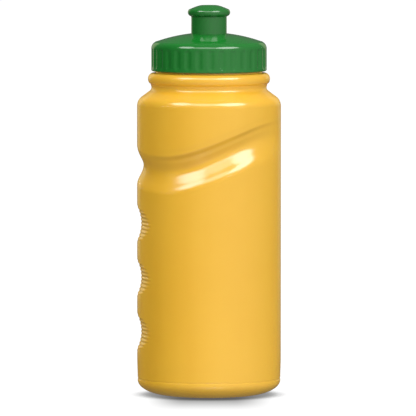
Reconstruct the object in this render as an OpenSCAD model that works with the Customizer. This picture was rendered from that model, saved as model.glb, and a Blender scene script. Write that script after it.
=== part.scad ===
// Squeeze sports bottle: blow-moulded body with finger grips, screw cap, seal ring and push-pull spout.
// Millimetres. +Z is up, the bottle stands on z = 0 and its axis is the Z axis.
// -Y is the front, and the finger grips are on the -X side. The body is the same front and back.

/* [Bottle body] */
// Outer diameter of the barrel
body_d = 73; // [70:0.5:76]
// Height of the top of the carrying ring, where the neck begins
ring_top_z = 163.6; // [162.5:0.1:164.6]
// Wall thickness of the blow moulding
wall = 1.1; // [0.9:0.1:1.4]
// Radial width of the rounded corner at the foot
foot_w = 16.7; // [12:0.5:18]
// Height of the rounded corner at the foot
foot_h = 7.4; // [6:0.2:10]

/* [Finger grips] */
// Depth of a finger grip at its middle
grip_depth = 2.3; // [1.5:0.1:2.8]
// Height of the lowest finger grip's middle
grip_z = 32.3; // [31.5:0.1:34]
// Distance from one finger grip to the next
grip_pitch = 27.5; // [26.5:0.1:28.5]
// Number of finger grips
grip_count = 3; // [1:1:3]

/* [Finger channel] */
// Depth of the channel at the front, where the thumb or finger lies
channel_depth = 4.6; // [3:0.1:4.8]
// Depth of the channel beside the finger grips
channel_side_depth = 3.3; // [2:0.1:3.6]
// Half the height of the channel
channel_half = 10.2; // [9:0.1:11]
// Height of the channel's middle where it is lowest
channel_z = 113.6; // [112.6:0.1:114.6]
// How far the channel climbs towards the far side
channel_rise = 17.2; // [13:0.2:17.6]

/* [Neck and thread] */
// Outer diameter of the neck under its thread
neck_d = 52; // [51:0.2:52.4]
// Height that the lid climbs in one turn
lead = 5; // [4.6:0.1:5.4]
// Number of turns of thread on the neck
neck_turns = 1.25; // [1:0.05:1.3]
// Gap between the flanks of the two threads
flank_gap = 0.2; // [0.15:0.05:0.4]

/* [Screw cap] */
// Outer diameter of the cap
cap_d = 58.5; // [58.2:0.1:59.5]
// Number of flutes round the skirt
flutes = 31; // [24:1:36]
// Depth of a flute
flute_depth = 0.45; // [0.2:0.05:0.5]

/* [Drinking spout] */
// Outer diameter of the spout's stem
stem_d = 18; // [17.6:0.1:18.4]
// Outer diameter of the bead that the mouth holds
bead_d = 21.5; // [20.6:0.1:22.5]
// Travel of the spout from shut to open
spout_travel = 6; // [4:0.5:6]

/* [Hidden] */
$fn = 96;
eps = 0.01;

yellow = [0.96, 0.74, 0.24];
green = [0.10, 0.45, 0.18];
seal_white = [0.90, 0.90, 0.86];

body_r = body_d / 2;

// Barrel: a grid of points round the axis, from barrel_z0 to barrel_z1
barrel_z0 = 20;
barrel_z1 = 143;
columns = 64;
outer_rows = 52;
inner_rows = 28;
tuck = 0.05;         // how far the grid's ends lie inside the turned parts' walls
overlap = 1;         // how far the grid's ends reach into the turned parts

// Finger grip: a ring-shaped cutter round a vertical axis on the far side of the bottle's axis
finger_r = 19.8;
grip_axis_x = 19;
grip_edge = 0.5;     // softening of the grip's edge

// Foot
base_ring_in = 12;   // inner radius of the flat ring that the bottle stands on
base_push = 3;       // height of the pushed-up middle of the base

channel_hook = 3.3;  // how far the channel climbs towards the grips

// Shoulder, groove and carrying ring
shoulder_r = 5.75;
shoulder_z = 146.9;
shoulder_slope = 53.2;
groove_r = 2;
groove_floor = 29.2;
groove_z = ring_top_z - 7.4;
ring_out = 30.93;
ring_w = 2.63;
ring_h = 3;
ring_under = 3.4;    // half-height of the carrying ring below its widest point
collar_r = 27;
collar_top = ring_top_z + 1.5;

// Neck
neck_r = neck_d / 2;
neck_wall = 2;
rim_z = 175;

// Thread: a ridge with sloping flanks
ridge = 1.3;         // height of the ridge above its wall
ridge_root = 2.4;    // height along the axis at the wall
ridge_crest = 1.2;   // height along the axis at the crest
ridge_bury = 0.4;    // how far the ridge reaches into its wall
neck_thread_z = 166.9;
thread_steps = 40;   // pieces in one turn
ramp = 0.08;         // share of the thread over which its ends rise

// Cap
cap_r = cap_d / 2;
cap_wall = 1.7;
cap_bore = neck_r + 1.6;
cap_z0 = 164.5;
cap_dome_r = 80;
cap_dome_z = 104.05;  // height of the centre of the dome's sphere
cap_corner = 3.8;
cap_edge = 0.8;
cap_thread_turns = 1.2;
cap_thread_from = 90; // angle where the cap's thread begins
cap_thread_z = neck_thread_z - (ridge_root + ridge_crest) / 2 - flank_gap + lead * cap_thread_from / 360;
flute_r = 4;
flute_z0 = 167.6;    // heights between which a flute has its full width
flute_z1 = 174.4;
flute_turn = 4.6;    // angle of the first flute

// Seal
seal_t = 1.6;
seal_in = 23.8;
seal_out = 27.3;
snap_in = 27.05;     // inner radius of the bead that holds the seal in the cap
snap_h = 0.45;

// Spout and chimney
fit = 0.05;          // radial running clearance
chimney_r = 7;
chimney_in = 5.6;
chimney_top = 193.6;
stop_lip = 0.3;      // how far the stop lips stand out
stop_h = 1.2;
pin_r = 2.75;
pin_top = 196.8;
pin_bottom = 188.6;
spoke_t = 1.3;
spoke_h = 3.2;
well_gap = 0.3;
well_wall = 1.4;
well_floor = 173.8;
stem_r = stem_d / 2;
spout_bottom = well_floor + 0.5;
spout_top = 198.3;    // height where the spout's dome would meet the axis
roof_z = chimney_top + 0.3;
bead_z = 194.25;
bead_tube = 2;
spout_dome_r = 20;
lip_r = 1.5;         // rounding from the dome into the mouth hole

// --- Curves ---

function clamp01(t) = min(1, max(0, t));
function smooth(t) = let (u = clamp01(t)) u * u * (3 - 2 * u);

// Points of an elliptical arc from angle a0 to a1, in degrees
function arc(cx, cz, rx, rz, a0, a1, n = 12) =
    [for (i = [0:n]) let (a = a0 + (a1 - a0) * i / n) [cx + rx * cos(a), cz + rz * sin(a)]];

// --- The barrel's surface ---
// side is the angle from the -X side, 0 at the grips and 180 at the far side.

// Height of the channel's middle
function channel_mid(side) =
    channel_z + channel_rise * smooth((side - 50) / 105)
        + channel_hook * pow(max(0, (50 - side) / 50), 2);

// From 0 to 1 at an even slope, with both ends rounded over r
function ramp_curve(v, r) =
    v < r ? v * v / (2 * r * (1 - r))
        : v > 1 - r ? 1 - (1 - v) * (1 - v) / (2 * r * (1 - r)) : (v - r / 2) / (1 - r);

// The channel's cross-section at the front, u = -1 to 1 from its lower to its upper edge: a lip and
// two soft steps down from above, then one even rise below with a faint fold in it
function channel_front(u) =
    let (
        upper = 0.05 * smooth((1.26 - u) / 0.24) + 0.45 * smooth((0.93 - u) / 0.32)
            + 0.5 * smooth((0.66 - u) / 0.58),
        even = ramp_curve(max(0, min(1, (0.1 - u) / 1.16)), 0.25),
        fold = smooth((-0.5 - u) / 0.22)
    )
    upper * (1 - 0.96 * even - 0.04 * fold);

// Its cross-section beside the grips: an even round valley
function channel_side(u) = abs(u) >= 1 ? 0 : (1 + cos(180 * u)) / 2;

// Depth of the channel, which fades out on the far side
function channel_cut(side, z) =
    let (u = (z - channel_mid(side)) / channel_half, front = smooth((side - 20) / 55))
    (1 - smooth((side - 105) / 72))
        * (front * channel_depth * channel_front(u) + (1 - front) * channel_side_depth * channel_side(u));

// Depth of one finger grip, dz above its middle
function grip_cut(side, dz) =
    let (
        rest = body_r - grip_depth + grip_axis_x + finger_r,
        reach = rest - sqrt(max(0, finger_r * finger_r - dz * dz)),
        r = sqrt(max(0, reach * reach - pow(grip_axis_x * sin(side), 2))) - grip_axis_x * cos(side),
        cut = body_r - r
    )
    abs(dz) > 0.75 * finger_r ? 0 : (cut + sqrt(cut * cut + grip_edge * grip_edge)) / 2;

function grips_cut(side, z, i = 0) =
    i >= grip_count ? 0 : max(grip_cut(side, z - grip_z - i * grip_pitch), grips_cut(side, z, i + 1));

// The cuts fade to nothing at the grid's two ends, where it meets the turned parts
function ends(z) = smooth((z - barrel_z0) / 2) * smooth((barrel_z1 - z) / 2);

function barrel_r(side, z) = body_r - ends(z) * (channel_cut(side, z) + grips_cut(side, z));

function folded(a) = a <= 180 ? a : 360 - a;

// One ring of the grid. inset is how far it lies inside the outer surface.
function grid_ring(z, inset) =
    [for (i = [0:columns - 1])
        let (a = 360 * i / columns, r = barrel_r(folded(a), z) - inset)
        [-r * cos(a), -r * sin(a), z]];

function row_z(i, rows) =
    let (lo = barrel_z0 - overlap, hi = barrel_z1 + overlap) lo + (hi - lo) * i / rows;

// Faces between ring a and ring b, each of n points; turned round when flip is true
function band(a, b, n, flip) =
    [for (i = [0:n - 1])
        let (j = (i + 1) % n, q = [a + i, a + j, b + j, b + i])
        each flip ? [[q[0], q[1], q[2]], [q[0], q[2], q[3]]] : [[q[2], q[1], q[0]], [q[3], q[2], q[0]]]];

module barrel_shell() {
    outer = [for (i = [0:outer_rows]) each grid_ring(row_z(i, outer_rows), tuck)];
    inner = [for (i = [0:inner_rows]) each grid_ring(row_z(i, inner_rows), wall - tuck)];
    n = columns;
    first_in = len(outer);
    faces = concat(
        [for (i = [0:outer_rows - 1]) each band(i * n, (i + 1) * n, n, false)],
        [for (i = [0:inner_rows - 1]) each band(first_in + i * n, first_in + (i + 1) * n, n, true)],
        band(0, first_in, n, true),
        band(outer_rows * n, first_in + inner_rows * n, n, false)
    );
    polyhedron(points = concat(outer, inner), faces = faces, convexity = 8);
}

// --- Threads ---

// A helical ridge. inward is -1 for a ridge on a bore and 1 for a ridge on a shaft.
module thread(r, z, turns, inward) {
    steps = round(turns * thread_steps);
    ring = [for (i = [0:steps])
        let (
            t = i / steps,
            a = 360 * turns * t,
            rise = clamp01(min(t, 1 - t) / ramp),
            top = (ridge + ridge_bury) * rise - ridge_bury + eps,
            mid = z + lead * turns * t,
            out = r + inward * top,
            in = r - inward * (ridge_bury + eps)
        )
        each [
            [in * cos(a), in * sin(a), mid - ridge_root / 2],
            [out * cos(a), out * sin(a), mid - ridge_crest / 2],
            [out * cos(a), out * sin(a), mid + ridge_crest / 2],
            [in * cos(a), in * sin(a), mid + ridge_root / 2]
        ]];
    last = 4 * steps;
    flip = inward > 0;
    faces = concat(
        [for (i = [0:steps - 1]) each band(4 * i, 4 * (i + 1), 4, flip)],
        flip ? [[0, 3, 2], [0, 2, 1]] : [[2, 3, 0], [1, 2, 0]],
        flip ? [[last, last + 1, last + 2], [last, last + 2, last + 3]]
             : [[last + 2, last + 1, last], [last + 3, last + 2, last]]
    );
    polyhedron(points = ring, faces = faces, convexity = 6);
}

// --- Bottle body ---

module foot() {
    corner_x = body_r - foot_w;
    push_in = base_ring_in + wall;
    rotate_extrude()
        polygon(concat(
            [[0, base_push], [base_ring_in - 4, base_push], [base_ring_in, 0]],
            arc(corner_x, foot_h, foot_w, foot_h, -90, 0),
            [[body_r, barrel_z0], [body_r - wall, barrel_z0]],
            arc(corner_x, foot_h, foot_w - wall, foot_h - wall, 0, -90),
            [[push_in, wall], [push_in - 4, base_push + wall], [0, base_push + wall]]
        ));
}

module shoulder_and_neck() {
    shoulder_x = body_r - shoulder_r;
    groove_x = groove_floor + groove_r;
    ring_x = ring_out - ring_w;
    ring_z = ring_top_z - ring_h;
    bore = neck_r - neck_wall;
    rotate_extrude()
        polygon(concat(
            [[body_r - wall, barrel_z1], [body_r, barrel_z1]],
            arc(shoulder_x, shoulder_z, shoulder_r, shoulder_r, 0, shoulder_slope),
            arc(groove_x, groove_z, groove_r, groove_r, 233, 132),
            arc(ring_x, ring_z, ring_w, ring_under, -50, -5),
            arc(ring_x, ring_z, ring_w, ring_h, 0, 90),
            [[collar_r, ring_top_z], [collar_r, collar_top - 0.5], [collar_r - 0.5, collar_top]],
            [[neck_r, collar_top], [neck_r, rim_z - 0.4], [neck_r - 0.4, rim_z]],
            [[bore + 0.4, rim_z], [bore, rim_z - 0.4], [bore, ring_top_z]],
            [[ring_x - 0.3, ring_z - 0.5], [groove_floor - wall - 0.6, groove_z]],
            arc(shoulder_x, shoulder_z, shoulder_r - wall, shoulder_r - wall, shoulder_slope, 0)
        ));
}

module bottle_body() {
    color(yellow) {
        foot();
        barrel_shell();
        shoulder_and_neck();
        thread(neck_r, neck_thread_z, neck_turns, 1);
    }
}

// --- Seal ---

module lid_seal() {
    color(seal_white)
        rotate_extrude()
            translate([seal_in, rim_z])
                square([seal_out - seal_in, seal_t]);
}

// --- Screw cap ---

function dome_z(r, inset = 0) = cap_dome_z + sqrt(pow(cap_dome_r - inset, 2) - r * r);

// The dome's outline from radius r0 to r1
function dome(r0, r1, inset = 0, n = 10) =
    [for (i = [0:n]) let (r = r0 + (r1 - r0) * i / n) [r, dome_z(r, inset)]];

module cap_shell() {
    corner_x = cap_r - cap_corner;
    lean = asin((corner_x + 1.1) / cap_dome_r);
    corner_z = dome_z(corner_x + 1.1) - cap_corner * cos(lean);
    seat_z = rim_z + seal_t;
    well_in = stem_r + well_gap;
    well_out = well_in + well_wall;
    rotate_extrude()
        polygon(concat(
            [[well_in, well_floor], [well_in, dome_z(well_in) - 0.4]],
            dome(well_in + 0.4, corner_x + 1),
            arc(corner_x, corner_z, cap_corner, cap_corner, 90 - lean, 0),
            arc(cap_r - cap_edge, cap_z0 + cap_edge, cap_edge, cap_edge, 0, -90, 6),
            [[cap_bore + 0.4, cap_z0], [cap_bore, cap_z0 + 0.4]],
            [[cap_bore, rim_z - snap_h], [snap_in, rim_z - snap_h], [snap_in, rim_z - eps]],
            [[cap_bore, rim_z - eps], [cap_bore, seat_z], [seal_in - 0.4, seat_z]],
            [[seal_in - 1.4, dome_z(seal_in - 1.4, cap_wall)]],
            dome(seal_in - 2.4, well_out, cap_wall, 6),
            [[well_out, well_floor - well_wall], [chimney_in, well_floor - well_wall]],
            [[chimney_in, chimney_top], [chimney_r, chimney_top]],
            [[chimney_r + stop_lip, chimney_top - 0.4], [chimney_r + stop_lip, chimney_top - stop_h]],
            [[chimney_r, chimney_top - stop_h - eps], [chimney_r, well_floor]]
        ));
}

// One flute's cutter: a rod with two round ends
module flute_cutter() {
    translate([cap_r + flute_r - flute_depth, 0, flute_z0]) {
        cylinder(r = flute_r, h = flute_z1 - flute_z0);
        sphere(r = flute_r);
        translate([0, 0, flute_z1 - flute_z0])
            sphere(r = flute_r);
    }
}

module sealing_pin() {
    translate([0, 0, pin_bottom])
        cylinder(r = pin_r, h = pin_top - pin_bottom - 0.5);
    translate([0, 0, pin_top - 0.5])
        cylinder(r1 = pin_r, r2 = pin_r - 0.5, h = 0.5);
    for (i = [0:2])
        rotate([0, 0, 120 * i])
            translate([pin_r - 0.5, -spoke_t / 2, pin_bottom])
                cube([chimney_in - pin_r + 0.9, spoke_t, spoke_h]);
}

module screw_cap() {
    color(green) {
        difference() {
            cap_shell();
            for (i = [0:flutes - 1])
                rotate([0, 0, 360 * i / flutes + flute_turn])
                    flute_cutter();
        }
        rotate([0, 0, cap_thread_from])
            thread(cap_bore, cap_thread_z, cap_thread_turns, -1);
        sealing_pin();
    }
}

// --- Drinking spout ---

module drinking_spout() {
    lower_bore = chimney_r + fit;
    upper_bore = chimney_r + stop_lip + fit;
    mouth = pin_r + fit;
    step_z = chimney_top - stop_h - spout_travel - 0.1;
    bead_x = bead_d / 2 - bead_tube;
    dome_centre = spout_top - spout_dome_r;
    lean = asin((bead_x + 0.8) / spout_dome_r);
    tip = asin((mouth + lip_r) / spout_dome_r);
    tip_z = dome_centre + spout_dome_r * cos(tip);
    color(green)
        rotate_extrude()
            polygon(concat(
                [[lower_bore, spout_bottom + 0.4], [lower_bore + 0.4, spout_bottom]],
                [[stem_r - 0.4, spout_bottom], [stem_r, spout_bottom + 0.4]],
                [[stem_r, bead_z - bead_tube + 0.1]],
                arc(bead_x, bead_z, bead_tube, bead_tube, -75, 80 - lean),
                arc(0, dome_centre, spout_dome_r, spout_dome_r, 90 - lean + 2, 90 - tip, 6),
                arc(mouth + lip_r, tip_z - lip_r, lip_r, lip_r, 100, 180, 6),
                [[mouth, roof_z], [upper_bore, roof_z]],
                [[upper_bore, step_z], [lower_bore, step_z]]
            ));
}

bottle_body();
lid_seal();
screw_cap();
drinking_spout();
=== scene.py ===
"""Squeeze sports bottle: yellow blow-moulded body, green screw lid and green push-pull spout.

Metres, in the shared frame: +Z up, -Y the front, finger grips on the -X side. The meshes are
built in millimetres from the same shapes as the CAD solids, and scaled to metres at the end.
"""
import math

import bmesh
import bpy
import numpy as np
from mathutils import Matrix, Vector


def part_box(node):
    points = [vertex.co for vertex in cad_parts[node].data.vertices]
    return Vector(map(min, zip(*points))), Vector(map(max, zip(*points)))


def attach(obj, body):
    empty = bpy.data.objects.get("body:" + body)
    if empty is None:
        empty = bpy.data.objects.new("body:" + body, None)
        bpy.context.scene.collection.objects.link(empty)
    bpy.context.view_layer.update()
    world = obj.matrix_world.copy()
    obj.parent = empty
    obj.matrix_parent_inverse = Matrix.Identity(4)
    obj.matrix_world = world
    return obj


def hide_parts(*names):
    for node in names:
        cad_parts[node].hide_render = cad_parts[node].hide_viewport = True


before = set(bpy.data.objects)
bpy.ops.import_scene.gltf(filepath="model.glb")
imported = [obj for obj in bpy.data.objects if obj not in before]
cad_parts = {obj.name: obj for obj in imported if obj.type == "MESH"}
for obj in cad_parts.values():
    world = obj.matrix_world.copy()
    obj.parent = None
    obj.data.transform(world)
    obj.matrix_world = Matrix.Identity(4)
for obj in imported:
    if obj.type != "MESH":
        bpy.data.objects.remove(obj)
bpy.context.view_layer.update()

MM = 0.001
INSET = 0.03  # the visual body stays this far inside the CAD surface
BODY_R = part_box("bottle_body")[1].x / MM - INSET
RIM_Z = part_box("bottle_body")[1].z / MM
CAP_Z0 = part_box("screw_cap")[0].z / MM
CAP_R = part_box("screw_cap")[1].x / MM
PIN_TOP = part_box("screw_cap")[1].z / MM
SEAL_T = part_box("lid_seal")[1].z / MM - RIM_Z
SEAL_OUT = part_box("lid_seal")[1].x / MM
SPOUT_Z0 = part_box("drinking_spout")[0].z / MM

# ---------------------------------------------------------------- curves


def clamp01(t):
    return np.clip(t, 0.0, 1.0)


def smooth(t):
    u = clamp01(t)
    return u * u * (3 - 2 * u)


def soft_min(a, b, k):
    """The smaller of a and b, rounded off over about k."""
    h = clamp01(0.5 + 0.5 * (b - a) / k)
    return b + (a - b) * h - k * h * (1 - h)


def arc(cx, cz, rx, rz, start, end, n=12):
    """Points of an elliptical arc, angles in degrees."""
    turn = np.radians(np.linspace(start, end, n + 1))
    return [(cx + rx * math.cos(a), cz + rz * math.sin(a)) for a in turn]


def fillet(points, closed=False, n=5):
    """A polyline of (r, z, radius) corners, each rounded by its radius."""
    out = []
    count = len(points)
    for i, p in enumerate(points):
        r, z, radius = (list(p) + [0.0])[:3]
        if not closed and i in (0, count - 1) or radius <= 0:
            out.append((r, z))
            continue
        here = np.array([r, z])
        back = np.array(points[i - 1][:2]) - here
        ahead = np.array(points[(i + 1) % count][:2]) - here
        lb, la = np.linalg.norm(back), np.linalg.norm(ahead)
        back, ahead = back / lb, ahead / la
        half = math.acos(max(-1.0, min(1.0, float(back @ ahead)))) / 2
        if half > math.radians(87):
            out.append((r, z))
            continue
        reach = min(radius / math.tan(half), 0.49 * lb, 0.49 * la)
        radius = reach * math.tan(half)
        middle = here + (back + ahead) / np.linalg.norm(back + ahead) * radius / math.sin(half)
        a, b = here + back * reach - middle, here + ahead * reach - middle
        turn = math.atan2(a[0] * b[1] - a[1] * b[0], float(a @ b))
        for k in range(n + 1):
            t = turn * k / n
            c, s = math.cos(t), math.sin(t)
            out.append((middle[0] + c * a[0] - s * a[1], middle[1] + s * a[0] + c * a[1]))
    return out


def densify(path, step, closed=False):
    """Extra points on the straight stretches of a path, no further apart than step."""
    out = []
    count = len(path)
    for i in range(count if closed else count - 1):
        a, b = np.array(path[i]), np.array(path[(i + 1) % count])
        parts = max(1, int(math.ceil(np.linalg.norm(b - a) / step)))
        out += [tuple(a + (b - a) * k / parts) for k in range(parts)]
    if not closed:
        out.append(tuple(path[-1]))
    return out


# ---------------------------------------------------------------- meshes


def add_piece(name, mesh, body, material, replaces=()):
    """Shade a mesh smooth and put it in the scene, on its body and in its material slot."""
    mesh.polygons.foreach_set("use_smooth", [True] * len(mesh.polygons))
    mesh.materials.append(material)
    obj = bpy.data.objects.new(name, mesh)
    bpy.context.scene.collection.objects.link(obj)
    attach(obj, body)
    if replaces:
        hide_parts(*replaces)


def finish_mesh(name, verts, faces, body, material, replaces=()):
    """A piece from vertices in metres and faces, with its normals pointing outwards."""
    mesh = bpy.data.meshes.new(name)
    mesh.from_pydata([tuple(v) for v in verts], [], faces)
    mesh.validate()
    bm = bmesh.new()
    bm.from_mesh(mesh)
    bmesh.ops.remove_doubles(bm, verts=bm.verts, dist=1e-7)
    bmesh.ops.dissolve_degenerate(bm, edges=bm.edges, dist=1e-8)
    bmesh.ops.recalc_face_normals(bm, faces=bm.faces)
    if bm.calc_volume(signed=True) < 0:
        bmesh.ops.reverse_faces(bm, faces=bm.faces)
    bm.to_mesh(mesh)
    bm.free()
    add_piece(name, mesh, body, material, replaces)


def columns(count):
    """Evenly spaced angles round the axis, in degrees."""
    return np.linspace(0, 360, count, endpoint=False)


def revolved(path, angles, shape=None, closed=True):
    """Vertices in metres and faces of a path of (r, z) in millimetres turned round Z. Angles are in
    degrees from -X, and turn towards the front. shape(side, r, z) may change each point's r and z.
    A closed path is a ring with no point on the axis, and an open one starts and ends there."""
    path = np.array(path, float)
    rows, cols = len(path), len(angles)
    side = np.broadcast_to(np.asarray(angles, float), (rows, cols))
    r = np.repeat(path[:, :1], cols, axis=1)
    z = np.repeat(path[:, 1:2], cols, axis=1)
    if shape is not None:
        r, z = shape(side, r, z)
    turn = np.radians(side)
    grid = np.stack([-r * np.cos(turn), -r * np.sin(turn), z], axis=2) * MM
    verts, first = [], []
    for i in range(rows):
        first.append(len(verts))
        pole = not closed and path[i, 0] < 1e-9
        verts.extend([grid[i, 0]] if pole else list(grid[i]))
    sizes = [1 if not closed and path[i, 0] < 1e-9 else cols for i in range(rows)]
    faces = []
    for i in range(rows if closed else rows - 1):
        j = (i + 1) % rows
        a, b = first[i], first[j]
        for k in range(cols):
            m = (k + 1) % cols
            if sizes[i] == 1:
                faces.append((a, b + m, b + k))
            elif sizes[j] == 1:
                faces.append((a + k, a + m, b))
            else:
                faces.append((a + k, a + m, b + m, b + k))
    return verts, faces


# ---------------------------------------------------------------- threads

# RIDGE is a ridge's height, and its root and crest are widths
LEAD = 5.0
RIDGE, RIDGE_ROOT, RIDGE_CREST = 1.3, 2.4, 1.2
NECK_R, CAP_BORE = 26.0, 27.6
NECK_THREAD_Z, NECK_TURNS = 166.9, 1.25
CAP_THREAD_Z, CAP_TURNS, CAP_THREAD_FROM = 166.15, 1.2, 90.0
RUN_OUT = 0.08  # share of a ridge's length over which each end runs out


def ridge_height(side, z, start_z, turns, start_angle):
    """Height of a helical ridge at side and z. It starts at start_angle from +X and climbs
    LEAD in one turn, anticlockwise seen from above."""
    from_x = np.mod(side + 180.0 - start_angle, 360.0) / 360.0
    best = np.zeros_like(z)
    for lap in range(int(math.ceil(turns)) + 1):
        t = from_x + lap
        inside = t <= turns
        share = t / turns
        rise = clamp01(np.minimum(share, 1 - share) / RUN_OUT)
        off = np.abs(z - (start_z + LEAD * t))
        flank = clamp01((RIDGE_ROOT / 2 - off) / ((RIDGE_ROOT - RIDGE_CREST) / 2))
        flank = smooth(flank * 0.9 + 0.05) * (flank > 0)
        best = np.maximum(best, np.where(inside, RIDGE * rise * flank, 0.0))
    return best


# ---------------------------------------------------------------- the barrel's surface

BARREL_Z0, BARREL_Z1 = 20.0, 143.0
WALL = 1.1
GRIP_DEPTH, GRIP_Z, GRIP_PITCH, GRIP_COUNT = 2.3, 32.3, 27.5, 3
FINGER_R, GRIP_AXIS_X = 19.8, 19.0
GRIP_EDGE, GRIP_EDGE_INSIDE = 0.25, 1.2  # how far a grip's edge is rounded
GRIP_HALF = 10.2  # a grip's rows reach this far above and below its middle
NO_GRIP = -9.0  # stands for a depth where a grip doesn't reach
RIB_PITCH, RIB_HEIGHT = 1.94, 0.32
RIB_LEAD, RIB_FADE = 0.12, 0.22  # depths over which the ribs start at a grip's edge
CHANNEL_DEPTH, CHANNEL_SIDE_DEPTH, CHANNEL_HALF = 4.6, 3.3, 10.2
CHANNEL_Z, CHANNEL_RISE, CHANNEL_HOOK = 113.6, 17.2, 3.3
CHANNEL_ROWS = (101, 143)  # heights between which the channel has rows of its own
# degrees round from the grips, where a change starts and how many degrees it takes
CLIMB_FROM, CLIMB_OVER = 50, 105
FRONT_FROM, FRONT_OVER = 20, 55
FADE_FROM, FADE_OVER = 105, 72
# the parting line: depth of the dip and height of the line in it, then their half widths
SEAM_DEPTH, SEAM_DIP, SEAM_LINE = 0.10, 5.0, 0.55


def channel_mid(side):
    """Height of the channel's middle: low at the grips, then climbing across the front."""
    climb = CHANNEL_RISE * smooth((side - CLIMB_FROM) / CLIMB_OVER)
    hook = CHANNEL_HOOK * np.maximum(0, (CLIMB_FROM - side) / CLIMB_FROM) ** 2
    return CHANNEL_Z + climb + hook


def ramp(t, r):
    """From 0 to 1 at an even slope, with both ends rounded over r."""
    v = clamp01(t)
    ends = np.minimum(v, 1 - v)
    curve = ends * ends / (2 * r * (1 - r))
    return np.where(v < r, curve, np.where(v > 1 - r, 1 - curve, (v - r / 2) / (1 - r)))


def step_down(u, top, over):
    """From 0 at u = top to 1 once u is lower by over."""
    return smooth((top - u) / over)


def channel_front(u):
    """Section across the channel at the front, with u from 1 at its upper edge to -1 at its lower
    edge: a lip and two soft steps down, then one even rise below."""
    lip = step_down(u, 1.26, 0.24)
    first = step_down(u, 0.93, 0.32)
    second = step_down(u, 0.66, 0.58)
    even = ramp((0.10 - u) / 1.16, 0.25)
    fold = step_down(u, -0.50, 0.22)
    return (0.05 * lip + 0.45 * first + 0.5 * second) * (1 - 0.96 * even - 0.04 * fold)


def channel_side(u):
    """Section across the channel at the grips' side: one even wave."""
    return np.where(np.abs(u) >= 1, 0.0, (1 + np.cos(np.pi * u)) / 2)


def channel_cut(side, z):
    """Depth of the finger channel, which fades out towards the far side."""
    u = (z - channel_mid(side)) / CHANNEL_HALF
    front = smooth((side - FRONT_FROM) / FRONT_OVER)
    fade = 1 - smooth((side - FADE_FROM) / FADE_OVER)
    return fade * (
        front * CHANNEL_DEPTH * channel_front(u)
        + (1 - front) * CHANNEL_SIDE_DEPTH * channel_side(u)
    )


def grip_cut(side, dz):
    """Depth of one finger grip, before it is kept to the outside of the barrel."""
    reach = (
        BODY_R - GRIP_DEPTH + GRIP_AXIS_X + FINGER_R
        - np.sqrt(np.maximum(0, FINGER_R**2 - dz * dz))
    )
    turn = np.radians(side)
    r = np.sqrt(np.maximum(0, reach**2 - (GRIP_AXIS_X * np.sin(turn)) ** 2))
    depth = BODY_R - r + GRIP_AXIS_X * np.cos(turn)
    return np.where(np.abs(dz) > 0.75 * FINGER_R, NO_GRIP, depth)


def grips_cut(side, z, edge, ribs):
    """Depth of the finger grips, and of the ribs across them when ribs is true."""
    deepest = np.zeros_like(z)
    for i in range(GRIP_COUNT):
        dz = z - GRIP_Z - i * GRIP_PITCH
        raw = grip_cut(side, dz)
        cut = (raw + np.sqrt(raw * raw + edge * edge)) / 2
        if ribs:
            wave = 0.5 + 0.5 * np.cos(2 * np.pi * dz / RIB_PITCH)
            cut = cut - RIB_HEIGHT * wave**1.2 * smooth((raw + RIB_LEAD) / RIB_FADE)
        deepest = np.maximum(deepest, np.where(raw > NO_GRIP + 1, cut, 0.0))
    return deepest


def folded(side):
    """The back is the mirror image of the front."""
    return np.where(side <= 180, side, 360 - side)


def seam(side):
    """The mould's parting line on both sides: a shallow dip with a fine raised line in it."""
    off = np.minimum(folded(side), 180 - folded(side))
    dip = SEAM_DEPTH * np.exp(-((off / SEAM_DIP) ** 2))
    return dip - SEAM_DEPTH * np.clip(1 - (off / SEAM_LINE) ** 2, 0, 1)


def barrel_cut(side, z, edge=GRIP_EDGE, ribs=True):
    """Depth of everything that is cut into the barrel, none at its two ends."""
    ends = smooth((z - BARREL_Z0) / 2) * smooth((BARREL_Z1 - z) / 2)
    a = folded(side)
    return ends * (channel_cut(a, z) + grips_cut(a, z, edge, ribs))


# ---------------------------------------------------------------- bottle body

FOOT_W, FOOT_H, FOOT_RING = 16.7, 7.4, 12.0
FOOT_TAPER, FOOT_TAPER_H = 0.28, 12
FOOT_LINE, FOOT_LINE_Z, FOOT_LINE_W = 0.16, 8.5, 0.38
PUSH_UP = 3.0
PINCH_DEPTH, PINCH_W, PINCH_REACH = 0.4, 0.42, 9.5
RING_TOP = 163.6
GROOVE_FLOOR, GROOVE_R, GROOVE_DROP = 29.2, 2.0, 7.4
SHOULDER_R, SHOULDER_Z, SHOULDER_SLOPE = 5.75, 146.9, 53.2
RING_OUT, RING_W, RING_H, RING_UNDER = 30.93, 2.63, 3.0, 3.4
CREASE, CREASE_Z, CREASE_W = 0.4, RING_TOP - 5.7, 0.5
COLLAR_R, COLLAR_H = 27.0, 1.5
NECK_WALL = 2.0
BODY_COLUMNS = 204
SEAM_COLUMNS = (0.28, 0.55, 0.9)  # extra columns beside the parting line, in degrees


def body_rows_z():
    """Heights of the barrel's rows: close together at the foot line, the ribs and the channel."""
    z, out = FOOT_H, []
    while z < SHOULDER_Z - 0.2:
        out.append(z)
        if z < FOOT_LINE_Z + 1.2:
            z += 0.19
        elif any(abs(z - GRIP_Z - i * GRIP_PITCH) < GRIP_HALF for i in range(GRIP_COUNT)):
            z += RIB_PITCH / 6
        elif CHANNEL_ROWS[0] < z < CHANNEL_ROWS[1]:
            z += 0.6
        else:
            z += 1.1
    return out


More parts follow.
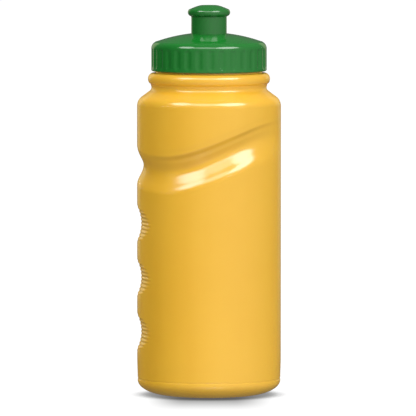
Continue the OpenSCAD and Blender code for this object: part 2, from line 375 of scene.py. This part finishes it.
def body_path():
    """Outline of the body from the middle of the base, up the outside and down the inside, and
    the number of its points that lie outside."""
    corner = BODY_R - FOOT_W
    groove_x, groove_z = GROOVE_FLOOR + GROOVE_R, RING_TOP - GROOVE_DROP
    ring_x, ring_z = RING_OUT - RING_W, RING_TOP - RING_H
    shoulder_x = BODY_R - SHOULDER_R
    bore = NECK_R - NECK_WALL
    push_in = FOOT_RING + WALL
    base = densify(
        fillet([(0, PUSH_UP), (FOOT_RING - 4, PUSH_UP, 3), (FOOT_RING, 0, 1.6), (corner, 0)]), 1.0
    )
    outer = base[:-1] + arc(corner, FOOT_H, FOOT_W, FOOT_H, -90, -4, 22)
    outer += [(BODY_R, z) for z in body_rows_z()]
    top = arc(shoulder_x, SHOULDER_Z, SHOULDER_R, SHOULDER_R, 0, SHOULDER_SLOPE, 14)
    top += arc(groove_x, groove_z, GROOVE_R, GROOVE_R, 233, 132, 12)
    top += arc(ring_x, ring_z, RING_W, RING_UNDER, -50, -5, 9)
    top += arc(ring_x, ring_z, RING_W, RING_H, 0, 90, 14)
    outer += densify(top, 0.45)
    collar = RING_TOP + COLLAR_H
    outer += densify(
        fillet([
            (ring_x, RING_TOP), (COLLAR_R, RING_TOP, 0.25), (COLLAR_R, collar, 0.4),
            (NECK_R, collar, 0.2), (NECK_R, RIM_Z, 0.5), (bore, RIM_Z, 0.5), (bore, RIM_Z - 3),
        ], n=4)[1:], 0.27
    )
    inner = fillet([
        (bore, RIM_Z - 3), (bore, RING_TOP, 1), (ring_x - 0.3, ring_z - 0.5, 1),
        (GROOVE_FLOOR - WALL - 0.6, groove_z, 1), (shoulder_x + 2.8, SHOULDER_Z + 3.7),
    ])
    inner += arc(shoulder_x, SHOULDER_Z, SHOULDER_R - WALL, SHOULDER_R - WALL, 45, 0, 6)
    inner += [(BODY_R - WALL, z) for z in np.linspace(SHOULDER_Z - 2, FOOT_H + 2, 46)]
    inner += arc(corner, FOOT_H, FOOT_W - WALL, FOOT_H - WALL, 0, -90, 10)
    inner += [(push_in, WALL), (push_in - 4, PUSH_UP + WALL), (0, PUSH_UP + WALL)]
    return outer + inner[1:], len(outer)


def body_angles():
    """Columns round the body, with extra ones for the parting line on both sides."""
    extra = [s + way * d for s in (0.0, 180.0) for way in (-1, 1) for d in SEAM_COLUMNS]
    return np.sort(np.mod(np.concatenate([columns(BODY_COLUMNS), extra]), 360.0))


def dip(z, middle, width):
    """A soft dip across z, 1 deep at its middle."""
    return np.exp(-(((z - middle) / width) ** 2))


def foot_cut(r, z):
    """The wall narrows a little towards the foot."""
    taper = FOOT_TAPER * (1 - smooth((z - FOOT_H) / FOOT_TAPER_H))
    return taper * smooth((r - 20) / 15) * (z < 30)


def pinch_off(side, r):
    """Depth of the line across the base where the mould pinched the tube shut."""
    y = r * np.sin(np.radians(side))
    x = r * np.cos(np.radians(side))
    return PINCH_DEPTH * (np.exp(-((y / PINCH_W) ** 2)) * smooth((PINCH_REACH - np.abs(x)) / 1.5))


def make_body(material):
    path, outer_rows = body_path()
    outside = np.zeros((len(path), 1))
    outside[:outer_rows] = 1

    def shape(side, r, z):
        on_wall = r >= BODY_R - WALL - 0.01
        cut = np.where(on_wall, barrel_cut(side, z), 0.0)
        plain = np.where(on_wall, barrel_cut(side, z, GRIP_EDGE_INSIDE, ribs=False), 0.0)
        r = r - np.where(outside > 0, cut, plain)
        r = r - outside * foot_cut(r, z)
        # fine line round the top of the foot
        r = r - outside * FOOT_LINE * dip(z, FOOT_LINE_Z, FOOT_LINE_W) * (r > 30)
        # crease where the carrying ring meets the groove below it
        r = r - outside * CREASE * dip(z, CREASE_Z, CREASE_W) * ((r > 28) & (r < 31.5))
        on_neck = (np.abs(r - NECK_R) < 0.02) & (outside > 0)
        ridge = ridge_height(side, z, NECK_THREAD_Z, NECK_TURNS, 0.0)
        r = r + np.where(on_neck, ridge, 0.0)
        # parting line up the outside, and the pinch-off line across the pushed-up base
        wall = outside * (r > 28) * smooth((z - 1.0) / 3) * (z < RING_TOP - 0.4)
        r = r - wall * seam(side)
        on_base = (outside > 0) & (z < PUSH_UP + 0.05) & (r < 11)
        return r, z - np.where(on_base, pinch_off(side, r), 0.0)

    verts, faces = revolved(path, body_angles(), shape, closed=False)
    finish_mesh(
        "bottle_shell", verts, faces, "bottle", material, ["bottle_body"]
    )


# ---------------------------------------------------------------- lid

CAP_DOME_R, CAP_DOME_Z, CAP_CORNER = 80.0, 104.05, 3.8
CAP_WALL, CAP_EDGE = 1.7, 0.8
FLUTES, FLUTE_R, FLUTE_DEPTH = 31, 4.0, 0.45
FLUTE_Z0, FLUTE_Z1, FLUTE_TURN = 167.6, 174.4, 4.6
FLUTE_EDGE, FLUTE_COLUMNS = 0.28, 14
SEAL_IN = 23.8
SNAP_R, SNAP_H = 27.05, 0.45
CHIMNEY_R, CHIMNEY_IN, CHIMNEY_TOP = 7.0, 5.6, 193.6
STOP_LIP, STOP_H = 0.3, 1.2
STEM_R, WELL_GAP, WELL_WALL, WELL_FLOOR = 9.0, 0.3, 1.4, 173.8
PIN_R, PIN_BOTTOM = 2.75, 188.6
SPOKES, SPOKE_T, SPOKE_H, SPOKE_SINK = 3, 1.3, 3.2, 0.5


def dome_z(r, inset=0.0):
    """Height of the lid's dome at r, or of its inside when inset is the wall."""
    return CAP_DOME_Z + math.sqrt((CAP_DOME_R - inset) ** 2 - r * r)


def cap_path():
    """Closed outline of the lid, from the well's edge over the dome, down the skirt and back up
    the inside with the snap bead, the seal's seat, the well and the chimney."""
    corner_x = CAP_R - CAP_CORNER
    lean = math.degrees(math.asin((corner_x + 1.1) / CAP_DOME_R))
    corner_z = dome_z(corner_x + 1.1) - CAP_CORNER * math.cos(math.radians(lean))
    seat = RIM_Z + SEAL_T
    well_in = STEM_R + WELL_GAP
    well_out = well_in + WELL_WALL
    dome = [(r, dome_z(r)) for r in np.linspace(well_in + 0.9, corner_x + 1, 22)]
    lip = fillet([(well_in, dome_z(well_in) - 3), (well_in, dome_z(well_in), 0.55), dome[0]])
    outer = lip + dome[1:]
    outer += arc(corner_x, corner_z, CAP_CORNER, CAP_CORNER, 90 - lean - 2, 0, 14)
    outer += [(CAP_R, z) for z in np.arange(corner_z - 0.2, CAP_Z0 + CAP_EDGE, -0.4)]
    outer += arc(CAP_R - CAP_EDGE, CAP_Z0 + CAP_EDGE, CAP_EDGE, CAP_EDGE, 0, -90, 6)
    inside = fillet([
        outer[-1], (CAP_BORE, CAP_Z0, 0.4), (CAP_BORE, RIM_Z - SNAP_H, 0.1),
        (SNAP_R, RIM_Z - SNAP_H, 0.15), (SNAP_R, RIM_Z, 0.15), (CAP_BORE, RIM_Z, 0.1),
        (CAP_BORE, seat), (SEAL_IN - 0.4, seat, 0.3),
        (SEAL_IN - 1.4, dome_z(SEAL_IN - 1.4, CAP_WALL), 0.6),
        (SEAL_IN - 2.4, dome_z(SEAL_IN - 2.4, CAP_WALL)),
    ], n=3)[1:]
    inside += [(r, dome_z(r, CAP_WALL)) for r in np.linspace(SEAL_IN - 4, well_out + 0.5, 8)]
    inside += fillet([
        (well_out + 0.5, dome_z(well_out, CAP_WALL)), (well_out, dome_z(well_out, CAP_WALL), 0.4),
        (well_out, WELL_FLOOR - WELL_WALL, 0.5), (CHIMNEY_IN, WELL_FLOOR - WELL_WALL, 0.4),
        (CHIMNEY_IN, CHIMNEY_TOP, 0.3), (CHIMNEY_R, CHIMNEY_TOP, 0.2),
        (CHIMNEY_R + STOP_LIP, CHIMNEY_TOP - 0.4, 0.2),
        (CHIMNEY_R + STOP_LIP, CHIMNEY_TOP - STOP_H, 0.1),
        (CHIMNEY_R, CHIMNEY_TOP - STOP_H - 0.05, 0.1),
        (CHIMNEY_R, WELL_FLOOR, 0.2), (well_in, WELL_FLOOR, 0.2), (well_in, WELL_FLOOR + 4),
    ], n=3)[1:]
    return densify(outer + inside, 0.5, closed=True)


def flute_radius(side, z):
    """Radius of the flutes' floor at side and z, and far outside the lid between flutes."""
    pitch = 360.0 / FLUTES
    centre_x = CAP_R + FLUTE_R - FLUTE_DEPTH
    from_x = np.mod(side + 180.0 - FLUTE_TURN, pitch)
    off = np.radians(np.where(from_x > pitch / 2, from_x - pitch, from_x))
    past = np.maximum(0, np.maximum(FLUTE_Z0 - z, z - FLUTE_Z1))
    ball = np.sqrt(np.maximum(0, FLUTE_R**2 - past**2))
    across = centre_x * np.sin(off)
    hit = np.abs(across) < ball
    r = centre_x * np.cos(off) - np.sqrt(np.maximum(0, ball**2 - across**2))
    return np.where(hit, r, CAP_R + 5)


def make_cap(material):
    def shape(side, r, z):
        outside = (r > CAP_R - 0.6) & (z > CAP_Z0 + 0.4)
        r = np.where(outside, soft_min(r, flute_radius(side, z), FLUTE_EDGE), r)
        on_bore = (np.abs(r - CAP_BORE) < 0.02) & (z < RIM_Z - 0.4)
        ridge = ridge_height(side, z, CAP_THREAD_Z, CAP_TURNS, CAP_THREAD_FROM)
        return r - np.where(on_bore, ridge, 0.0), z

    verts, faces = revolved(cap_path(), columns(FLUTES * FLUTE_COLUMNS), shape)
    finish_mesh("lid_shell", verts, faces, "lid", material, ["screw_cap"])


def make_pin(material):
    """The sealing pin in the middle of the chimney."""
    path = [(0, PIN_TOP)] + fillet([
        (0.1, PIN_TOP), (PIN_R - 0.5, PIN_TOP, 0.3), (PIN_R, PIN_TOP - 0.5, 0.4),
        (PIN_R, PIN_BOTTOM, 0.5), (0.1, PIN_BOTTOM),
    ]) + [(0, PIN_BOTTOM)]
    verts, faces = revolved(densify(path, 0.8), columns(48), closed=False)
    finish_mesh("lid_pin", verts, faces, "lid", material)


def make_spokes(material):
    """The spokes that hold the pin. They sink into the pin and the chimney's wall."""
    bm = bmesh.new()
    length = CHIMNEY_IN - PIN_R + 0.9
    middle = Vector((PIN_R - SPOKE_SINK + length / 2, 0, PIN_BOTTOM + SPOKE_H / 2)) * MM
    for i in range(SPOKES):
        place = (
            Matrix.Rotation(math.radians(360 / SPOKES * i), 4, "Z")
            @ Matrix.Translation(middle)
            @ Matrix.Diagonal((length * MM, SPOKE_T * MM, SPOKE_H * MM, 1))
        )
        bmesh.ops.create_cube(bm, size=1.0, matrix=place)
    bmesh.ops.bevel(
        bm, geom=list(bm.edges), offset=0.2 * MM, segments=3, profile=0.5, affect="EDGES"
    )
    bmesh.ops.recalc_face_normals(bm, faces=bm.faces)
    mesh = bpy.data.meshes.new("lid_spokes")
    bm.to_mesh(mesh)
    bm.free()
    add_piece("lid_spokes", mesh, "lid", material)


def make_seal(material):
    low, high = RIM_Z, RIM_Z + SEAL_T
    path = fillet([
        (SEAL_IN, low, 0.3), (SEAL_OUT, low, 0.3), (SEAL_OUT, high, 0.3), (SEAL_IN, high, 0.3)
    ], closed=True, n=4)
    verts, faces = revolved(densify(path, 0.9, True), columns(160))
    finish_mesh(
        "lid_seal_ring", verts, faces, "seal_carrier", material, ["lid_seal"]
    )


# ---------------------------------------------------------------- spout

FIT = 0.05  # gap on the chimney and the pin
BEAD_R, BEAD_Z, BEAD_TUBE = 10.75, 194.25, 2.0
SPOUT_APEX, SPOUT_DOME_R, SPOUT_LIP_R = 198.298, 20.0, 1.5
SPOUT_TRAVEL = 6.0


def spout_path():
    """Closed outline of the spout, from the stem's foot over the bead and down the bore."""
    mouth = PIN_R + FIT
    lower, upper = CHIMNEY_R + FIT, CHIMNEY_R + STOP_LIP + FIT
    roof = CHIMNEY_TOP + 0.3
    step = CHIMNEY_TOP - STOP_H - SPOUT_TRAVEL - 0.1
    bead_x = BEAD_R - BEAD_TUBE
    centre = SPOUT_APEX - SPOUT_DOME_R
    lean = math.degrees(math.asin((bead_x + 0.8) / SPOUT_DOME_R))
    tip = math.degrees(math.asin((mouth + SPOUT_LIP_R) / SPOUT_DOME_R))
    tip_z = centre + SPOUT_DOME_R * math.cos(math.radians(tip))
    path = fillet([
        (lower, SPOUT_Z0 + 1), (lower, SPOUT_Z0, 0.3),
        (STEM_R, SPOUT_Z0, 0.4), (STEM_R, SPOUT_Z0 + 2),
    ])[1:]
    path += fillet([
        (STEM_R, BEAD_Z - 6), (STEM_R, BEAD_Z - BEAD_TUBE + 0.05, 0.35),
        (bead_x + 1.0, BEAD_Z - BEAD_TUBE + 0.05),
    ])[:-1]
    path += arc(bead_x, BEAD_Z, BEAD_TUBE, BEAD_TUBE, -68, 80 - lean, 18)
    path += arc(0, centre, SPOUT_DOME_R, SPOUT_DOME_R, 90 - lean + 2, 90 - tip, 10)[1:]
    path += arc(mouth + SPOUT_LIP_R, tip_z - SPOUT_LIP_R, SPOUT_LIP_R, SPOUT_LIP_R, 100, 180, 8)
    path += fillet([
        (mouth, tip_z - 1.6), (mouth, roof, 0.15), (upper, roof, 0.2), (upper, step, 0.1),
        (lower, step, 0.1), (lower, SPOUT_Z0 + 2),
    ])
    return densify(path, 0.8, closed=True)


def make_spout(material):
    verts, faces = revolved(spout_path(), columns(144))
    finish_mesh(
        "spout_shell", verts, faces, "spout", material, ["drinking_spout"]
    )


# ---------------------------------------------------------------- materials

COLOUR_PLACES = (0.30, 0.52, 0.75)


def ramp_colours(tree, factor, colours):
    """Three colours spread over the middle of a noise's range."""
    node = tree.nodes.new("ShaderNodeValToRGB")
    node.color_ramp.elements.new(0.5)
    for element, place, colour in zip(node.color_ramp.elements, COLOUR_PLACES, colours):
        element.position = place
        element.color = (*colour, 1)
    tree.links.new(factor, node.inputs["Fac"])
    return node.outputs["Color"]


def noise(tree, scale, detail, stretch=(1, 1, 1), rough=0.5):
    where = tree.nodes.new("ShaderNodeTexCoord")
    mapping = tree.nodes.new("ShaderNodeMapping")
    mapping.inputs["Scale"].default_value = stretch
    tree.links.new(where.outputs["Object"], mapping.inputs["Vector"])
    node = tree.nodes.new("ShaderNodeTexNoise")
    node.inputs["Scale"].default_value = scale
    node.inputs["Detail"].default_value = detail
    node.inputs["Roughness"].default_value = rough
    tree.links.new(mapping.outputs["Vector"], node.inputs["Vector"])
    return node.outputs["Fac"]


def map_range(tree, value, start, end, low, high, kind="LINEAR"):
    """value from start..end to low..high, and no further."""
    node = tree.nodes.new("ShaderNodeMapRange")
    node.interpolation_type = kind
    node.inputs["From Min"].default_value = start
    node.inputs["From Max"].default_value = end
    node.inputs["To Min"].default_value = low
    node.inputs["To Max"].default_value = high
    tree.links.new(value, node.inputs["Value"])
    return node.outputs["Result"]


def maths(tree, operation, *values):
    """A Math node, with a number or a socket for each input."""
    node = tree.nodes.new("ShaderNodeMath")
    node.operation = operation
    for socket, value in zip(node.inputs, values):
        if isinstance(value, float):
            socket.default_value = value
        else:
            tree.links.new(value, socket)
    return node.outputs["Value"]


def bump(tree, height, distance, normal=None):
    node = tree.nodes.new("ShaderNodeBump")
    node.inputs["Strength"].default_value = 1.0
    node.inputs["Distance"].default_value = distance
    tree.links.new(height, node.inputs["Height"])
    if normal is not None:
        tree.links.new(normal, node.inputs["Normal"])
    return node.outputs["Normal"]


def plastic(name, colours, rough, specular, ior, subsurface, grain, wave):
    """Moulded plastic: mottled colour with faint flow lines, uneven gloss, a fine grain from the
    mould's surface and a slow waviness of the wall. grain and wave are a noise's scale and height."""
    material = bpy.data.materials.new(name)
    material.use_nodes = True
    tree = material.node_tree
    shader = tree.nodes["Principled BSDF"]
    cloud = noise(tree, 22, 4, rough=0.55)
    flow = noise(tree, 60, 3, (1, 1, 0.08))
    mix = tree.nodes.new("ShaderNodeMix")
    mix.data_type = "FLOAT"
    mix.inputs[0].default_value = 0.45
    tree.links.new(cloud, mix.inputs[2])
    tree.links.new(flow, mix.inputs[3])
    tree.links.new(ramp_colours(tree, mix.outputs[0], colours), shader.inputs["Base Color"])
    gloss = map_range(tree, noise(tree, 140, 5, rough=0.65), 0.0, 1.0, *rough)
    tree.links.new(gloss, shader.inputs["Roughness"])
    slow = bump(tree, noise(tree, wave[0], 2), wave[1])
    fine = bump(tree, noise(tree, grain[0], 3), grain[1], slow)
    tree.links.new(fine, shader.inputs["Normal"])
    shader.inputs["Specular IOR Level"].default_value = specular
    shader.inputs["IOR"].default_value = ior
    shader.inputs["Subsurface Weight"].default_value = subsurface
    shader.inputs["Subsurface Radius"].default_value = (1.0, 0.5, 0.15)
    shader.inputs["Subsurface Scale"].default_value = 0.003
    return material


yellow = plastic(
    "golden_polyethylene",
    [(0.860, 0.458, 0.024), (0.890, 0.488, 0.030), (0.910, 0.508, 0.037)],
    rough=(0.17, 0.25), specular=1.0, ior=1.70, subsurface=0.06,
    grain=(1500, 0.000004), wave=(45, 0.00006),
)
green = plastic(
    "green_polypropylene",
    [(0.005, 0.150, 0.014), (0.007, 0.168, 0.018), (0.010, 0.182, 0.022)],
    rough=(0.08, 0.14), specular=1.0, ior=1.56, subsurface=0.0,
    grain=(1700, 0.000003), wave=(60, 0.00005),
)
spout_green = plastic(
    "green_polyethylene",
    [(0.005, 0.140, 0.013), (0.007, 0.158, 0.017), (0.010, 0.172, 0.021)],
    rough=(0.11, 0.17), specular=1.0, ior=1.62, subsurface=0.0,
    grain=(1900, 0.000004), wave=(90, 0.00004),
)
white_rubber = plastic(
    "natural_seal_foam",
    [(0.62, 0.61, 0.55), (0.70, 0.69, 0.63), (0.76, 0.75, 0.70)],
    rough=(0.55, 0.75), specular=0.4, ior=1.45, subsurface=0.0,
    grain=(2600, 0.00003), wave=(300, 0.00004),
)

make_body(yellow)
make_cap(green)
make_pin(green)
make_spokes(green)
make_seal(white_rubber)
make_spout(spout_green)

# ---------------------------------------------------------------- studio

FLOOR_R, FLOOR_SIDES = 14.0, 48
FLOOR_LIGHT, SHADOW_DARK = 1.03, 0.66
CONTACT_LIGHT, CONTACT_REACH = 0.25, 0.010
# metres from the object's axis over which the painted shadow fades
SHADOW_ACROSS = (0.012, 0.035)
SHADOW_FORWARD = (-0.100, -0.020)
SHADOW_BEHIND = (-0.030, 0.005)


def floor_mesh():
    """A disc in the floor's plane, in rings that widen outwards."""
    bm = bmesh.new()
    last = [bm.verts.new((0, 0, 0))]
    for radius in [0.1 * 2**k for k in range(7)] + [FLOOR_R]:
        now = [
            bm.verts.new((radius * math.cos(a), radius * math.sin(a), 0))
            for a in np.linspace(0, 2 * math.pi, FLOOR_SIDES, endpoint=False)
        ]
        for i in range(FLOOR_SIDES):
            j = (i + 1) % FLOOR_SIDES
            if len(last) == 1:
                bm.faces.new((last[0], now[i], now[j]))
            else:
                bm.faces.new((last[i], now[i], now[j], last[j]))
        last = now
    mesh = bpy.data.meshes.new("studio_floor")
    bm.to_mesh(mesh)
    bm.free()
    return mesh


def floor_material():
    """Evenly lit white paper, with the object's soft shadow painted in by position."""
    material = bpy.data.materials.new("studio_white")
    material.use_nodes = True
    tree = material.node_tree
    shader = tree.nodes["Principled BSDF"]
    shader.inputs["Base Color"].default_value = (0.02, 0.02, 0.02, 1)
    shader.inputs["Roughness"].default_value = 0.9
    shader.inputs["Specular IOR Level"].default_value = 0.0
    where = tree.nodes.new("ShaderNodeTexCoord")
    split = tree.nodes.new("ShaderNodeSeparateXYZ")
    tree.links.new(where.outputs["Object"], split.inputs[0])

    def fade(value, start, end, low, high):
        return map_range(tree, value, start, end, low, high, "SMOOTHSTEP")

    # painted shadow that falls forward, and painted contact shade that keeps the floor dark where the
    # foot meets it
    aside = maths(tree, "ABSOLUTE", split.outputs["X"])
    across = fade(aside, *SHADOW_ACROSS, 1.0, 0.0)
    forward = fade(split.outputs["Y"], *SHADOW_FORWARD, 0.0, SHADOW_DARK)
    behind = fade(split.outputs["Y"], *SHADOW_BEHIND, 1.0, 0.0)
    shadow = maths(tree, "MULTIPLY", maths(tree, "MULTIPLY", across, forward), behind)
    contact = tree.nodes.new("ShaderNodeAmbientOcclusion")
    contact.inputs["Distance"].default_value = CONTACT_REACH
    contact.samples = 8
    open_sky = fade(contact.outputs["AO"], 0.0, 0.9, CONTACT_LIGHT, FLOOR_LIGHT)
    light = maths(tree, "MULTIPLY", open_sky, maths(tree, "SUBTRACT", 1.0, shadow))
    shader.inputs["Emission Color"].default_value = (1, 1, 1, 1)
    tree.links.new(light, shader.inputs["Emission Strength"])
    return material


def make_floor():
    """The floor gives off its own light, so that it stays plain, and adds none to the object."""
    mesh = floor_mesh()
    mesh.materials.append(floor_material())
    floor = bpy.data.objects.new("studio_floor", mesh)
    bpy.context.scene.collection.objects.link(floor)
    floor.visible_diffuse = False
    floor.visible_glossy = False
    floor.visible_shadow = False


def facing(azimuth, elevation):
    """Unit vector away from the object. Azimuth 0 is in front (-Y), and positive to +X."""
    az, el = math.radians(azimuth), math.radians(elevation)
    return Vector((math.sin(az) * math.cos(el), -math.cos(az) * math.cos(el), math.sin(el)))


def softbox(
    name, azimuth, elevation, distance, width, height, radiance, target=(0, 0, 0.13), colour=(1, 1, 1)
):
    """An oval light that faces its target from distance away. radiance is that of its surface."""
    light = bpy.data.lights.new(name, "AREA")
    light.shape = "ELLIPSE"
    light.size, light.size_y = width, height
    light.energy = radiance * math.pi * width * height * math.pi / 4
    light.color = colour
    place = Vector(target) + distance * facing(azimuth, elevation)
    obj = bpy.data.objects.new(name, light)
    obj.location = place
    obj.rotation_euler = (Vector(target) - place).to_track_quat("-Z", "Y").to_euler()
    obj.visible_camera = False
    bpy.context.scene.collection.objects.link(obj)
    return obj


RIM_COLOUR = (0.94, 0.92, 0.60)

make_floor()
softbox("softbox_left", -54, 42, 1.7, 0.86, 0.76, 3.7)
softbox("softbox_middle", -9, 42, 1.7, 1.40, 0.70, 1.8)
softbox("softbox_right", 43, 41, 1.7, 1.28, 0.80, 4.1)
softbox("rim_strip_left", -154, 10, 3.0, 1.3, 1.8, 0.46, colour=RIM_COLOUR)
softbox("rim_strip_right", 154, 10, 3.0, 1.3, 1.8, 0.36, colour=RIM_COLOUR)
# soft light that the gloss doesn't mirror
fills = [
    softbox("front_fill", 37, 15, 3.0, 1.8, 0.35, 22.5),
    softbox("side_fill", -66, 15, 3.0, 1.8, 0.35, 14.0),
    softbox("left_rim", -140, 6, 3.0, 1.2, 0.5, 28.0),
    softbox("right_rim", 138, 6, 3.0, 1.2, 0.5, 14.0),
    softbox("floor_bounce", -10, -40, 2.0, 2.0, 0.8, 0.8),
    softbox("foot_bounce", 8, -38, 0.32, 0.16, 0.06, 8.0, (0, -0.02, 0.004)),
    softbox("top_fill", 180, 76, 1.6, 1.2, 1.2, 5.0, (0, 0, 0.18)),
]
for fill in fills:
    fill.visible_glossy = False


def make_world():
    """Studio air: brightest to the front right and fading round to the far side, with a weak glow
    from behind above and from below. The backdrop itself is plain white."""
    world = bpy.data.worlds.new("studio")
    bpy.context.scene.world = world
    world.use_nodes = True
    tree = world.node_tree

    def along(direction, low, high, low_value, high_value, power=1.0):
        """A value that grows with the cosine between the view ray and a direction."""
        where = tree.nodes.new("ShaderNodeTexCoord")
        dot = tree.nodes.new("ShaderNodeVectorMath")
        dot.operation = "DOT_PRODUCT"
        dot.inputs[1].default_value = direction
        tree.links.new(where.outputs["Generated"], dot.inputs[0])
        lobe = map_range(tree, dot.outputs["Value"], low, high, 0.0, 1.0)
        curve = maths(tree, "POWER", lobe, power)
        return maths(tree, "MULTIPLY_ADD", curve, high_value - low_value, low_value)

    key = along(facing(38, 5), -1.0, 1.0, 0.04, 0.40, 2.0)
    glow = along((0, 0.80, 0.60), 0.35, 0.95, 0.0, 0.09)
    below = along((0, 0, -1), 0.05, 0.5, 0.0, 0.05)
    total = maths(tree, "ADD", maths(tree, "ADD", key, glow), below)
    path = tree.nodes.new("ShaderNodeLightPath")
    seen = maths(tree, "MAXIMUM", total, path.outputs["Is Camera Ray"])
    background = tree.nodes["Background"]
    background.inputs["Color"].default_value = (1, 1, 1, 1)
    tree.links.new(seen, background.inputs["Strength"])


make_world()

# ---------------------------------------------------------------- camera

CAMERA_PLACE = Vector((-0.0005, -3.83, 0.345))
AIM = Vector((-0.0005, 0, 0.0949))
LENS = 654.7  # millimetres, so that the object fills the frame as it does in the photograph


def make_camera():
    """A long lens from slightly above, like the photograph's view."""
    camera = bpy.data.cameras.new("camera")
    camera.sensor_width = 36.0
    camera.lens = LENS
    camera.clip_start, camera.clip_end = 0.05, 40.0
    obj = bpy.data.objects.new("camera", camera)
    bpy.context.scene.collection.objects.link(obj)
    obj.location = CAMERA_PLACE
    obj.rotation_euler = (AIM - CAMERA_PLACE).to_track_quat("-Z", "Y").to_euler()
    bpy.context.scene.camera = obj


make_camera()
bpy.context.scene.view_settings.view_transform = "Standard"
bpy.context.scene.view_settings.look = "None"

bpy.context.view_layer.update()
